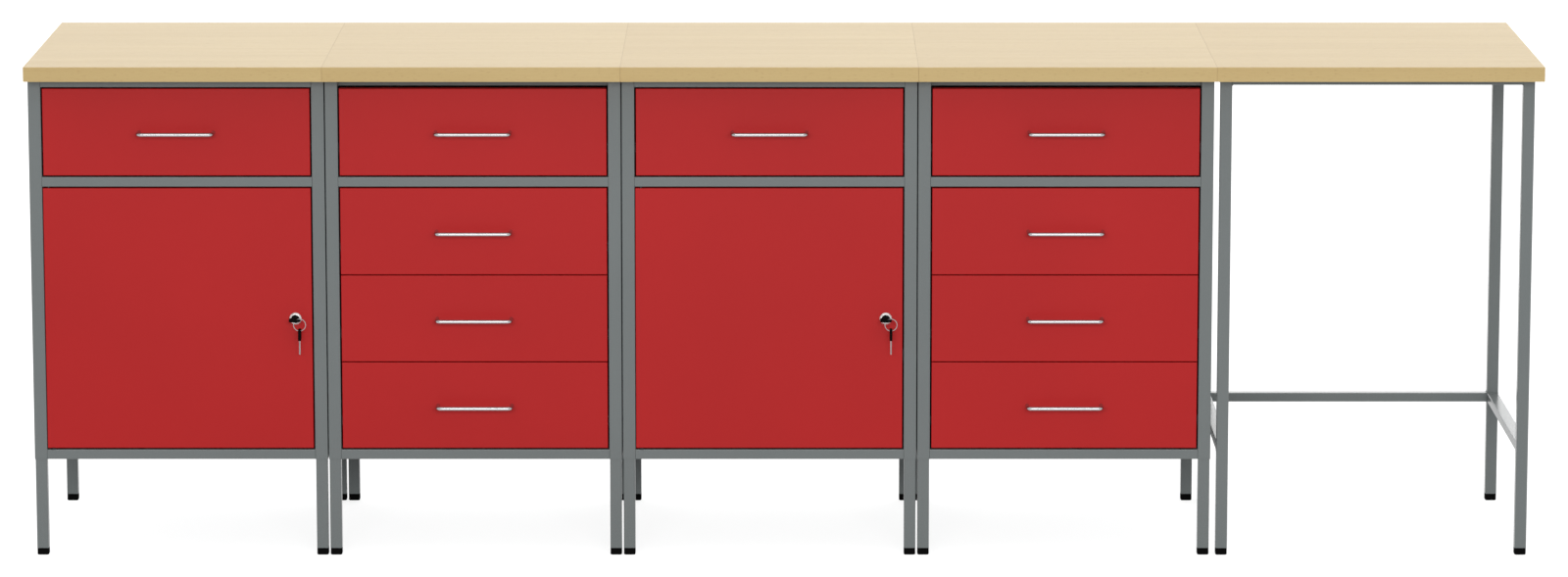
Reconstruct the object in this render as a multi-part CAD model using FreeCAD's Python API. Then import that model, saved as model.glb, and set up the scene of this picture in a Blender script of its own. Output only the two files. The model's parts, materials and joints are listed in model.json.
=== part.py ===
import FreeCAD, Part
import math
import os

# A straight modular workbench: four cabinets and an open end table, each under its own worktop board.
# All sizes are millimetres. X runs along the bench, the fronts face -Y and the floor is at Z = 0.

# Two coordinates closer than this are the same place
TOUCH = 1e-6

# Bench
BENCH_HEIGHT = 863.0
BAY_LENGTH = 510.0
TABLE_LENGTH = 560.0
BAY_KINDS = ("cupboard", "drawers", "cupboard", "drawers")
WORKTOP_DEPTH = 600.0
WORKTOP_THICKNESS = 25.0
WORKTOP_JOINT = 0.15
WORKTOP_ROUND = 1.5

# Frames
CARCASS_DEPTH = 490.0
CABINET_GAP = 1.5
TUBE = 20.0
TUBE_WALL = 1.2
TUBE_ROUND = 1.5
RAIL_HEIGHT = 17.0
TOP_RAIL_SETBACK = 18.0
TABLE_INSET = 10.0
TABLE_RAIL_RISE = 182.0
TABLE_RAIL_HEIGHT = 16.0
TABLE_TOP_RAIL_HEIGHT = 13.0

# Feet
FOOT_HEIGHT = 12.3
FOOT_CORNER_ROUND = 3.5
FOOT_EDGE_ROUND = 2.2
FOOT_PLUG_HEIGHT = 16.0
FOOT_PLUG_CLEARANCE = 0.1

# Sheet metal shells
SHEET = 1.0
BEND_ROUND = 1.5
STILE_RETURN = 55.0
PANEL_FLANGE = 15.0

# Fronts of drawers and doors
FRONT_HEIGHT = 151.0
FRONTS_BELOW = 3
FRONT_GAP = 2.5
STACK_GAP = 1.5
FRONT_FOLD = 18.0
FRONT_LIP = 16.0

# Drawer trays and their runners
TRAY_LIFT = 8.0
TRAY_HEADROOM = 28.0
TRAY_BACK_CLEARANCE = 31.0
TRAY_LIP = 8.0
RUNNER_SPACE = 13.0
RUNNER_SHEET = 1.2
RUNNER_HEIGHT = 16.0
RUNNER_RISE = 30.0
RUNNER_CLEARANCE = 0.3
RUNNER_SIDE_CLEARANCE = 0.8
RUNNER_END_CLEARANCE = 1.0
RUNNER_STOP = 1.2

# Bent rod handles
HANDLE_CENTRES = 128.0
HANDLE_ROD = 6.5
HANDLE_PROJECTION = 35.0
HANDLE_BEND = 7.0

# Cupboard doors and hinge pins
DOOR_HINGE_GAP = 0.9
DOOR_LOCK_GAP = 2.4
HINGE_INSET = 10.0
HINGE_SETBACK = 3.4
HINGE_PIN = 4.0
HINGE_PIN_CLEARANCE = 0.05
HINGE_PIN_REACH = 8.0
HINGE_COLLAR = 9.0
HINGE_SEAT = 0.3
HINGE_LUG_LENGTH = 20.0
HINGE_LUG_DEPTH = 9.0
HINGE_LUG_THICKNESS = 4.0
STIFFENER_WIDTH = 60.0
STIFFENER_DEPTH = 14.0
STIFFENER_FLANGE = 12.0

# Cupboard shelf and its brackets
SHELF_DROP = 60.0
SHELF_SETBACK = 8.0
SHELF_SIDE_CLEARANCE = 0.5
SHELF_EDGE = 20.0
BRACKET_LENGTH = 22.0
BRACKET_WIDTH = 14.0
BRACKET_SHEET = 1.5

# Cam lock
LOCK_INSET = 29.0
LOCK_FLANGE = 22.0
LOCK_FLANGE_THICKNESS = 4.0
LOCK_FLANGE_BEVEL = 3.4
LOCK_BARREL = 18.0
LOCK_NUT_FLATS = 24.0
LOCK_NUT_THICKNESS = 4.0
PLUG = 13.0
PLUG_HEAD = 14.0
PLUG_HEAD_THICKNESS = 2.0
PLUG_CLEARANCE = 0.05
PLUG_SEAT = 0.3
PLUG_RECESS = 0.4
CAM_CLEARANCE = 1.5
CAM_LIFT = 0.5
CAM_THICKNESS = 2.0
CAM_WIDTH = 14.0
CAM_GRIP = 6.0
CAM_SLOT_CLEARANCE = 2.0
CAM_SCREW = 8.0
CAM_SCREW_HEIGHT = 2.5

# Keys and key ring
KEY_STANDOFF = 2.5
KEY_BOW_WIDTH = 20.0
KEY_BOW_LENGTH = 20.7
KEY_BOW_THICKNESS = 4.6
KEY_BOW_CORNER = 6.0
KEY_EDGE_ROUND = 1.0
KEY_SLOT = 4.6
KEY_WEB = 2.6
KEY_BLADE_LENGTH = 24.5
KEY_BLADE_WIDTH = 7.0
KEY_BLADE_THICKNESS = 2.0
KEYWAY_CLEARANCE = 0.1
RING_DIAMETER = 22.0
RING_WIRE = 1.2
RING_CLEARANCE = 0.2

# Lengthwise layout
BENCH_LENGTH = len(BAY_KINDS) * BAY_LENGTH + TABLE_LENGTH
BENCH_LEFT = -BENCH_LENGTH / 2
BENCH_RIGHT = BENCH_LENGTH / 2
TABLE_LEFT = BENCH_RIGHT - TABLE_LENGTH
CABINET_WIDTH = BAY_LENGTH - CABINET_GAP
STILE = TUBE + 2 * SHEET
OPENING = CABINET_WIDTH - 2 * STILE

# Depth layout
FRONT = -CARCASS_DEPTH / 2
BACK = CARCASS_DEPTH / 2
FRONT_REAR = FRONT + FRONT_FOLD
TRAY_REAR = BACK - SHEET - TRAY_BACK_CLEARANCE

# Heights, from the worktop down
LEG_TOP = BENCH_HEIGHT - WORKTOP_THICKNESS
UPPER_TOP = LEG_TOP - RAIL_HEIGHT
UPPER_BOTTOM = UPPER_TOP - FRONT_HEIGHT - 2 * FRONT_GAP
LOWER_TOP = UPPER_BOTTOM - RAIL_HEIGHT
STACK_HEIGHT = FRONTS_BELOW * FRONT_HEIGHT + (FRONTS_BELOW - 1) * STACK_GAP
LOWER_BOTTOM = LOWER_TOP - STACK_HEIGHT - 2 * FRONT_GAP
CARCASS_BOTTOM = LOWER_BOTTOM - RAIL_HEIGHT

# Drawer and door sizes
DRAWER_FRONT_WIDTH = OPENING - 2 * FRONT_GAP
TRAY_WIDTH = OPENING - 2 * RUNNER_SPACE
TRAY_HEIGHT = FRONT_HEIGHT - TRAY_LIFT - TRAY_HEADROOM
RUNNER_DEPTH = RUNNER_SPACE - RUNNER_SHEET - RUNNER_SIDE_CLEARANCE
DOOR_WIDTH = OPENING - DOOR_HINGE_GAP - DOOR_LOCK_GAP
DOOR_BOTTOM = LOWER_BOTTOM + FRONT_GAP
DOOR_TOP = LOWER_TOP - FRONT_GAP

# Lock and key places, along Y and Z
LOCK_Z = (DOOR_BOTTOM + DOOR_TOP) / 2
LOCK_FACE = FRONT - LOCK_FLANGE_THICKNESS
PLUG_FACE = LOCK_FACE + PLUG_RECESS
CAM_FACE = FRONT + max(FRONT_FOLD, SHEET + TUBE) + CAM_CLEARANCE
LOCK_REAR = CAM_FACE - CAM_LIFT
CAM_REAR = CAM_FACE + CAM_THICKNESS
CAM_REACH = LOCK_INSET + DOOR_LOCK_GAP + SHEET + CAM_GRIP
KEY_SHOULDER = PLUG_FACE - KEY_STANDOFF
KEY_SLOT_CENTRE = KEY_BOW_LENGTH - KEY_WEB - KEY_SLOT / 2
RING_Y = KEY_SHOULDER - KEY_SLOT_CENTRE
RING_INNER = RING_DIAMETER / 2 - RING_WIRE
WEB_CORNER = (KEY_WEB / 2 - KEY_EDGE_ROUND, KEY_BOW_THICKNESS / 2 - KEY_EDGE_ROUND)
WEB_RADIUS = KEY_EDGE_ROUND + math.hypot(*WEB_CORNER)
RING_DROP = RING_INNER - WEB_RADIUS - RING_CLEARANCE
RING_RISE = RING_INNER - math.sqrt(RING_INNER ** 2 - (KEY_BOW_THICKNESS / 2) ** 2)
SPARE_DROP = RING_INNER - RING_RISE - KEY_WEB / 2 - RING_CLEARANCE
RING_OFFSET = (KEY_BOW_WIDTH - KEY_WEB) / 2

# Shelf place
SHELF_TOP = LOCK_Z - SHELF_DROP
SHELF_FRONT = CAM_REAR + CAM_SCREW_HEIGHT + SHELF_SETBACK
SHELF_BACK = BACK - SHEET - TUBE


def box(x0, x1, y0, y1, z0, z1):
    return Part.makeBox(x1 - x0, y1 - y0, z1 - z0, FreeCAD.Vector(x0, y0, z0))


def cylinder_y(x, z, radius, y0, y1):
    return Part.makeCylinder(radius, y1 - y0, FreeCAD.Vector(x, y0, z), FreeCAD.Vector(0, 1, 0))


def cylinder_z(x, y, radius, z0, z1):
    return Part.makeCylinder(radius, z1 - z0, FreeCAD.Vector(x, y, z0))


def tube(x0, x1, y0, y1, z0, z1, along):
    # Tube with rounded edges, open at both ends of the named axis.
    inset = {axis: 0.0 if axis == along else TUBE_WALL for axis in "xyz"}
    bore = box(
        x0 + inset["x"], x1 - inset["x"],
        y0 + inset["y"], y1 - inset["y"],
        z0 + inset["z"], z1 - inset["z"],
    )
    bar = box(x0, x1, y0, y1, z0, z1)
    return bar.makeFillet(TUBE_ROUND, edges_along(bar, along)).cut(bore)


def extruded(points, direction):
    # A flat outline of straight sides, pushed along a direction.
    outline = [FreeCAD.Vector(*point) for point in points]
    return Part.Face(Part.makePolygon(outline + outline[:1])).extrude(FreeCAD.Vector(*direction))


def on(value, place):
    return abs(value - place) < TOUCH


def edges_on(shape, test):
    # The edges whose ends all pass the test.
    return [edge for edge in shape.Edges if all(test(vertex.Point) for vertex in edge.Vertexes)]


def edges_along(shape, axis):
    # The edges of a straight-sided shape that run along the named axis.
    return [edge for edge in shape.Edges if getattr(edge.BoundBox, axis.upper() + "Length") > TOUCH]


def export(node, solids):
    shape = solids[0] if len(solids) == 1 else Part.makeCompound(solids)
    shape.exportStep("parts/" + node + ".step")


def bay_centre(index):
    return BENCH_LEFT + (index + 0.5) * BAY_LENGTH


# Worktop

def worktop_board(x0, x1):
    # The front and the rear edge of the top face are rounded, the butting ends stay square.
    board = box(x0, x1, -WORKTOP_DEPTH / 2, WORKTOP_DEPTH / 2, LEG_TOP, BENCH_HEIGHT)
    top_edges = [edge for edge in edges_along(board, "x") if on(edge.CenterOfMass.z, BENCH_HEIGHT)]
    return board.makeFillet(WORKTOP_ROUND, top_edges)


def export_worktops():
    joints = [BENCH_LEFT + index * BAY_LENGTH for index in range(len(BAY_KINDS) + 1)]
    for index, start in enumerate(joints):
        last = index == len(BAY_KINDS)
        x0 = start + (WORKTOP_JOINT / 2 if index else 0.0)
        x1 = BENCH_RIGHT if last else joints[index + 1] - WORKTOP_JOINT / 2
        export("bay%d_worktop" % (index + 1), [worktop_board(x0, x1)])


# Cabinet frames

def hinge_axis(centre):
    door_left = centre - OPENING / 2 + DOOR_HINGE_GAP
    return door_left + HINGE_INSET, FRONT + HINGE_SETBACK


def cross_rail(centre, y0, z0, pin_at=None):
    rail = tube(centre - OPENING / 2, centre + OPENING / 2, y0, y0 + TUBE, z0, z0 + RAIL_HEIGHT, "x")
    if pin_at:
        rail = rail.cut(cylinder_z(pin_at[0], pin_at[1], HINGE_PIN / 2, z0, z0 + RAIL_HEIGHT))
    return rail


def shelf_bracket(centre, side, y0):
    # Angle fixed to the stile return, with its flat leg under the shelf.
    wall = centre + side * OPENING / 2
    top = SHELF_TOP - SHEET
    outline = [
        (wall, y0, top),
        (wall - side * BRACKET_WIDTH, y0, top),
        (wall - side * BRACKET_WIDTH, y0, top - BRACKET_SHEET),
        (wall - side * BRACKET_SHEET, y0, top - BRACKET_SHEET),
        (wall - side * BRACKET_SHEET, y0, top - BRACKET_WIDTH),
        (wall, y0, top - BRACKET_WIDTH),
    ]
    return extruded(outline, (0, BRACKET_LENGTH, 0))


def cabinet_frame(centre, kind):
    left = centre - CABINET_WIDTH / 2 + SHEET
    right = centre + CABINET_WIDTH / 2 - SHEET - TUBE
    front_leg = FRONT + SHEET
    rear_leg = BACK - SHEET - TUBE
    solids = []
    for x0 in (left, right):
        for y0 in (front_leg, rear_leg):
            solids.append(tube(x0, x0 + TUBE, y0, y0 + TUBE, FOOT_HEIGHT, LEG_TOP, "z"))
        for z0 in (CARCASS_BOTTOM, UPPER_TOP):
            solids.append(tube(x0, x0 + TUBE, front_leg + TUBE, rear_leg, z0, z0 + RAIL_HEIGHT, "y"))
    solids.append(cross_rail(centre, rear_leg, CARCASS_BOTTOM))
    solids.append(cross_rail(centre, rear_leg, UPPER_TOP))
    if kind == "drawers":
        solids.append(cross_rail(centre, FRONT, CARCASS_BOTTOM))
        solids.append(cross_rail(centre, FRONT, LOWER_TOP))
        # The top rail stands back, behind the upper drawer's front.
        solids.append(cross_rail(centre, FRONT + TOP_RAIL_SETBACK, UPPER_TOP))
        return solids
    pin_at = hinge_axis(centre)
    solids.append(cross_rail(centre, FRONT, CARCASS_BOTTOM, pin_at))
    solids.append(cross_rail(centre, FRONT, LOWER_TOP, pin_at))
    solids.append(cross_rail(centre, FRONT, UPPER_TOP))
    solids.append(cross_rail(centre, rear_leg, LOWER_TOP))
    inset = SHEET + SHELF_SIDE_CLEARANCE
    for side in (-1, 1):
        solids.append(shelf_bracket(centre, side, SHELF_FRONT + inset))
        solids.append(shelf_bracket(centre, side, SHELF_BACK - inset - BRACKET_LENGTH))
    return solids


# End table frame

def table_frame():
    left = TABLE_LEFT + TABLE_INSET
    right = BENCH_RIGHT - TABLE_INSET - TUBE
    rear = BACK - TUBE
    rail_top = TABLE_RAIL_RISE + TABLE_RAIL_HEIGHT
    top_rail = LEG_TOP - TABLE_TOP_RAIL_HEIGHT
    solids = []
    for x0 in (left, right):
        for y0 in (FRONT, rear):
            solids.append(tube(x0, x0 + TUBE, y0, y0 + TUBE, FOOT_HEIGHT, LEG_TOP, "z"))
        solids.append(tube(x0, x0 + TUBE, FRONT + TUBE, rear, TABLE_RAIL_RISE, rail_top, "y"))
        solids.append(tube(x0, x0 + TUBE, FRONT + TUBE, rear, top_rail, LEG_TOP, "y"))
    solids.append(tube(left + TUBE, right, rear, BACK, TABLE_RAIL_RISE, rail_top, "x"))
    for y0 in (FRONT, rear):
        solids.append(tube(left + TUBE, right, y0, y0 + TUBE, top_rail, LEG_TOP, "x"))
    return solids


# Feet

def foot_cap(x0, y0):
    x1 = x0 + TUBE
    y1 = y0 + TUBE
    cap = box(x0, x1, y0, y1, 0.0, FOOT_HEIGHT)
    cap = cap.makeFillet(FOOT_CORNER_ROUND, edges_along(cap, "z"))
    cap = cap.makeFillet(FOOT_EDGE_ROUND, edges_on(cap, lambda point: on(point.z, 0.0)))
    inset = TUBE_WALL + FOOT_PLUG_CLEARANCE
    plug = box(x0 + inset, x1 - inset, y0 + inset, y1 - inset, FOOT_HEIGHT, FOOT_HEIGHT + FOOT_PLUG_HEIGHT)
    return cap.fuse(plug)


def export_feet():
    feet = []
    for index in range(len(BAY_KINDS)):
        left = bay_centre(index) - CABINET_WIDTH / 2 + SHEET
        right = bay_centre(index) + CABINET_WIDTH / 2 - SHEET - TUBE
        for y0 in (FRONT + SHEET, BACK - SHEET - TUBE):
            feet += [foot_cap(left, y0), foot_cap(right, y0)]
    for y0 in (FRONT, BACK - TUBE):
        feet += [foot_cap(TABLE_LEFT + TABLE_INSET, y0), foot_cap(BENCH_RIGHT - TABLE_INSET - TUBE, y0)]
    export("foot_caps", feet)


# Cabinet shells

def side_panel(centre, side, kind):
    # One sheet folded round the front and the rear leg, with a return at each end.
    wall = centre + side * CABINET_WIDTH / 2
    skin = wall - side * SHEET
    pocket = wall - side * (SHEET + TUBE)
    edge = wall - side * STILE
    outline = [
        (wall, FRONT), (edge, FRONT), (edge, FRONT + STILE_RETURN), (pocket, FRONT + STILE_RETURN),
        (pocket, FRONT + SHEET), (skin, FRONT + SHEET), (skin, BACK - SHEET), (pocket, BACK - SHEET),
        (pocket, BACK - STILE_RETURN), (edge, BACK - STILE_RETURN), (edge, BACK), (wall, BACK),
    ]
    panel = extruded([(x, y, CARCASS_BOTTOM) for x, y in outline], (0, 0, LEG_TOP - CARCASS_BOTTOM))
    for face, bend in ((BACK, BEND_ROUND), (BACK - SHEET, BEND_ROUND - SHEET)):
        bends = [edge for edge in edges_along(panel, "z") if on(abs(edge.CenterOfMass.y), face)]
        panel = panel.makeFillet(bend, bends)
    if kind == "cupboard" and side > 0:
        # The lock's cam turns into this slot.
        panel = panel.cut(box(
            edge, pocket,
            CAM_FACE - CAM_SLOT_CLEARANCE, CAM_REAR + CAM_SLOT_CLEARANCE,
            LOCK_Z - CAM_REACH, LOCK_Z + CAM_REACH,
        ))
    return panel


def folded_shelf(centre, width, y0, y1, top, flange):
    # Flat sheet with its front and rear edges turned down.
    x0 = centre - width / 2
    outline = [
        (x0, y0, top), (x0, y1, top), (x0, y1, top - flange), (x0, y1 - SHEET, top - flange),
        (x0, y1 - SHEET, top - SHEET), (x0, y0 + SHEET, top - SHEET), (x0, y0 + SHEET, top - flange),
        (x0, y0, top - flange),
    ]
    return extruded(outline, (width, 0, 0))


def cabinet_shell(centre, kind):
    rail_front = FRONT + TUBE
    rail_rear = BACK - SHEET - TUBE
    back = box(centre - OPENING / 2, centre + OPENING / 2, BACK - SHEET, BACK, CARCASS_BOTTOM, LEG_TOP)
    solids = [side_panel(centre, -1, kind), side_panel(centre, 1, kind), back]
    solids.append(folded_shelf(centre, OPENING, rail_front, rail_rear, LOWER_BOTTOM, PANEL_FLANGE))
    if kind == "cupboard":
        solids.append(folded_shelf(centre, OPENING, rail_front, rail_rear, UPPER_BOTTOM, PANEL_FLANGE))
    return solids


def cupboard_shelf(centre):
    width = OPENING - 2 * SHELF_SIDE_CLEARANCE
    return folded_shelf(centre, width, SHELF_FRONT, SHELF_BACK, SHELF_TOP, SHELF_EDGE)


# Fronts

def folded_front(x0, x1, z0, z1):
    # Sheet pan with four folded edges and a lip round its rear.
    pan = box(x0, x1, FRONT, FRONT_REAR, z0, z1)
    pan = pan.makeFillet(BEND_ROUND, edges_on(pan, lambda point: on(point.y, FRONT)))
    hollow = box(x0 + SHEET, x1 - SHEET, FRONT + SHEET, FRONT_REAR - SHEET, z0 + SHEET, z1 - SHEET)
    window = box(
        x0 + FRONT_LIP, x1 - FRONT_LIP,
        FRONT_REAR - SHEET, FRONT_REAR,
        z0 + FRONT_LIP, z1 - FRONT_LIP,
    )
    return pan.cut(hollow).cut(window)


# Drawers

def drawer_tray(centre, front_bottom):
    # Open tray whose side walls end in a lip folded outwards.
    x0 = centre - TRAY_WIDTH / 2
    x1 = centre + TRAY_WIDTH / 2
    z0 = front_bottom + TRAY_LIFT
    z1 = z0 + TRAY_HEIGHT
    inside = box(x0 + SHEET, x1 - SHEET, FRONT_REAR + SHEET, TRAY_REAR - SHEET, z0 + SHEET, z1)
    lips = box(x0 - TRAY_LIP, x1 + TRAY_LIP, FRONT_REAR, TRAY_REAR, z1 - SHEET, z1)
    return box(x0, x1, FRONT_REAR, TRAY_REAR, z0, z1).fuse(lips).cut(inside).removeSplitter()


def runner_bottom(front_bottom):
    return front_bottom + TRAY_LIFT + RUNNER_RISE


def channel(web, tip, y0, y1, z0, z1):
    # Three-sided runner: a web and two flanges that end at the tip.
    inner = web + math.copysign(RUNNER_SHEET, tip - web)
    outline = [
        (web, y0, z0), (tip, y0, z0), (tip, y0, z0 + RUNNER_SHEET), (inner, y0, z0 + RUNNER_SHEET),
        (inner, y0, z1 - RUNNER_SHEET), (tip, y0, z1 - RUNNER_SHEET), (tip, y0, z1), (web, y0, z1),
    ]
    return extruded(outline, (0, y1 - y0, 0))


def tray_runner(centre, side, front_bottom):
    web = centre + side * TRAY_WIDTH / 2
    tip = web + side * RUNNER_DEPTH
    play = RUNNER_SHEET + RUNNER_CLEARANCE
    z0 = runner_bottom(front_bottom)
    return channel(web, tip, FRONT_REAR, TRAY_REAR, z0 + play, z0 + RUNNER_HEIGHT - play)


def cabinet_runner(centre, side, front_bottom):
    # Channel on the stile returns, with a stop behind the closed tray runner.
    web = centre + side * OPENING / 2
    tip = web - side * RUNNER_DEPTH
    z0 = runner_bottom(front_bottom)
    z1 = z0 + RUNNER_HEIGHT
    y0 = FRONT_REAR + RUNNER_END_CLEARANCE
    y1 = BACK - SHEET - RUNNER_END_CLEARANCE
    stop = TRAY_REAR + RUNNER_CLEARANCE
    block = box(min(web, tip), max(web, tip), stop, stop + RUNNER_STOP, z0, z1)
    return channel(web, tip, y0, y1, z0, z1).fuse(block).removeSplitter()


def rod_handle(centre, z):
    # One rod bent at both ends, seated on the front sheet.
    x0 = centre - HANDLE_CENTRES / 2
    x1 = centre + HANDLE_CENTRES / 2
    y_bar = FRONT - HANDLE_PROJECTION + HANDLE_ROD / 2
    y_bend = y_bar + HANDLE_BEND
    slack = HANDLE_BEND * (1 - math.cos(math.pi / 4))
    points = [
        (x0, FRONT), (x0, y_bend), (x0 + slack, y_bar + slack), (x0 + HANDLE_BEND, y_bar),
        (x1 - HANDLE_BEND, y_bar), (x1 - slack, y_bar + slack), (x1, y_bend), (x1, FRONT),
    ]
    start, leg, turn, bar, bar_end, turn_back, leg_back, end = [FreeCAD.Vector(x, y, z) for x, y in points]
    path = Part.Wire([
        Part.LineSegment(start, leg).toShape(),
        Part.Arc(leg, turn, bar).toShape(),
        Part.LineSegment(bar, bar_end).toShape(),
        Part.Arc(bar_end, turn_back, leg_back).toShape(),
        Part.LineSegment(leg_back, end).toShape(),
    ])
    section = Part.Wire([Part.makeCircle(HANDLE_ROD / 2, start, FreeCAD.Vector(0, -1, 0))])
    return path.makePipeShell([section], True, False)


def export_drawer(name, centre, front_bottom):
    half = DRAWER_FRONT_WIDTH / 2
    front = folded_front(centre - half, centre + half, front_bottom, front_bottom + FRONT_HEIGHT)
    export(name + "_front", [front])
    runners = [tray_runner(centre, side, front_bottom) for side in (-1, 1)]
    export(name + "_tray", [drawer_tray(centre, front_bottom)] + runners)
    export(name + "_handle", [rod_handle(centre, front_bottom + FRONT_HEIGHT / 2)])


def drawer_bottoms(kind):
    # Lower edges of the drawer fronts in one bay, from the top down.
    bottoms = [UPPER_BOTTOM + FRONT_GAP]
    if kind == "drawers":
        first = LOWER_TOP - FRONT_GAP - FRONT_HEIGHT
        bottoms += [first - row * (FRONT_HEIGHT + STACK_GAP) for row in range(FRONTS_BELOW)]
    return bottoms


# Doors and hinge pins

def door(centre):
    x0 = centre - OPENING / 2 + DOOR_HINGE_GAP
    x1 = x0 + DOOR_WIDTH
    pin_x, pin_y = hinge_axis(centre)
    hole = HINGE_PIN / 2 + HINGE_PIN_CLEARANCE
    leaf = folded_front(x0, x1, DOOR_BOTTOM, DOOR_TOP)
    for z0 in (DOOR_BOTTOM + SHEET, DOOR_TOP - SHEET - HINGE_LUG_THICKNESS):
        leaf = leaf.fuse(box(
            x0 + SHEET, x0 + SHEET + HINGE_LUG_LENGTH,
            FRONT + SHEET, FRONT + SHEET + HINGE_LUG_DEPTH,
            z0, z0 + HINGE_LUG_THICKNESS,
        ))
    for z0 in (DOOR_BOTTOM, DOOR_TOP - SHEET - HINGE_LUG_THICKNESS):
        leaf = leaf.cut(cylinder_z(pin_x, pin_y, hole, z0, z0 + SHEET + HINGE_LUG_THICKNESS))
    barrel = cylinder_y(x1 - LOCK_INSET, LOCK_Z, LOCK_BARREL / 2 + PLUG_CLEARANCE, FRONT, FRONT + SHEET)
    return leaf.cut(barrel).removeSplitter()


def door_stiffener(centre):
    # Hat section on the inner face of the door, between the upper and the lower lip.
    half = STIFFENER_WIDTH / 2
    inner = half - STIFFENER_FLANGE
    seat = FRONT + SHEET
    rise = seat + SHEET
    crown = seat + STIFFENER_DEPTH
    outline = [
        (-half, seat), (-inner + SHEET, seat), (-inner + SHEET, crown - SHEET),
        (inner - SHEET, crown - SHEET), (inner - SHEET, seat), (half, seat),
        (half, rise), (inner, rise), (inner, crown), (-inner, crown), (-inner, rise), (-half, rise),
    ]
    bottom = DOOR_BOTTOM + FRONT_LIP
    height = DOOR_TOP - DOOR_BOTTOM - 2 * FRONT_LIP
    return extruded([(centre + x, y, bottom) for x, y in outline], (0, 0, height))


def hinge_pins(centre):
    x, y = hinge_axis(centre)
    upper = cylinder_z(x, y, HINGE_PIN / 2, DOOR_TOP - HINGE_PIN_REACH, UPPER_BOTTOM)
    lower = cylinder_z(x, y, HINGE_PIN / 2, CARCASS_BOTTOM, DOOR_BOTTOM + HINGE_PIN_REACH)
    collar = cylinder_z(x, y, HINGE_COLLAR / 2, LOWER_BOTTOM, DOOR_BOTTOM - HINGE_SEAT)
    return [upper, lower.fuse(collar)]


# Locks

def lock_axis(centre):
    return centre - OPENING / 2 + DOOR_HINGE_GAP + DOOR_WIDTH - LOCK_INSET


def lock_housing(x):
    flange = cylinder_y(x, LOCK_Z, LOCK_FLANGE / 2, LOCK_FACE, FRONT)
    rim = edges_on(flange, lambda point: on(point.y, LOCK_FACE))
    flange = flange.makeChamfer(LOCK_FLANGE_BEVEL, rim)
    barrel = cylinder_y(x, LOCK_Z, LOCK_BARREL / 2, FRONT, LOCK_REAR)
    head_floor = PLUG_FACE + PLUG_HEAD_THICKNESS + PLUG_SEAT
    bore = cylinder_y(x, LOCK_Z, PLUG / 2 + PLUG_CLEARANCE, head_floor, LOCK_REAR)
    head_bore = cylinder_y(x, LOCK_Z, PLUG_HEAD / 2 + PLUG_CLEARANCE, LOCK_FACE, head_floor)
    return flange.fuse(barrel).cut(bore).cut(head_bore).removeSplitter()


def lock_nut(x):
    corner = LOCK_NUT_FLATS / math.sqrt(3)
    turns = [math.radians(60 * step) for step in range(6)]
    seat = FRONT + SHEET
    outline = [(x + corner * math.cos(turn), seat, LOCK_Z + corner * math.sin(turn)) for turn in turns]
    nut = extruded(outline, (0, LOCK_NUT_THICKNESS, 0))
    return nut.cut(cylinder_y(x, LOCK_Z, LOCK_BARREL / 2, seat, seat + LOCK_NUT_THICKNESS))


def lock_plug(x):
    head = cylinder_y(x, LOCK_Z, PLUG_HEAD / 2, PLUG_FACE, PLUG_FACE + PLUG_HEAD_THICKNESS)
    body = cylinder_y(x, LOCK_Z, PLUG / 2, PLUG_FACE, CAM_FACE)
    half_width = KEY_BLADE_WIDTH / 2 + KEYWAY_CLEARANCE
    half_height = KEY_BLADE_THICKNESS / 2 + KEYWAY_CLEARANCE
    keyway_end = KEY_SHOULDER + KEY_BLADE_LENGTH + KEYWAY_CLEARANCE
    keyway = box(
        x - half_width, x + half_width,
        PLUG_FACE, keyway_end,
        LOCK_Z - half_height, LOCK_Z + half_height,
    )
    return head.fuse(body).removeSplitter().cut(keyway)


def lock_cam(x):
    # Flat tongue that points up when unlocked, with a round end at the plug and at its tip.
    half = CAM_WIDTH / 2
    tip = LOCK_Z + CAM_REACH - half
    low_left = FreeCAD.Vector(x - half, CAM_FACE, LOCK_Z)
    high_left = FreeCAD.Vector(x - half, CAM_FACE, tip)
    crown = FreeCAD.Vector(x, CAM_FACE, tip + half)
    high_right = FreeCAD.Vector(x + half, CAM_FACE, tip)
    low_right = FreeCAD.Vector(x + half, CAM_FACE, LOCK_Z)
    heel = FreeCAD.Vector(x, CAM_FACE, LOCK_Z - half)
    outline = Part.Wire([
        Part.LineSegment(low_left, high_left).toShape(),
        Part.Arc(high_left, crown, high_right).toShape(),
        Part.LineSegment(high_right, low_right).toShape(),
        Part.Arc(low_right, heel, low_left).toShape(),
    ])
    return Part.Face(outline).extrude(FreeCAD.Vector(0, CAM_THICKNESS, 0))


def cam_screw(x):
    return cylinder_y(x, LOCK_Z, CAM_SCREW / 2, CAM_REAR, CAM_REAR + CAM_SCREW_HEIGHT)


# Keys and key rings

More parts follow.
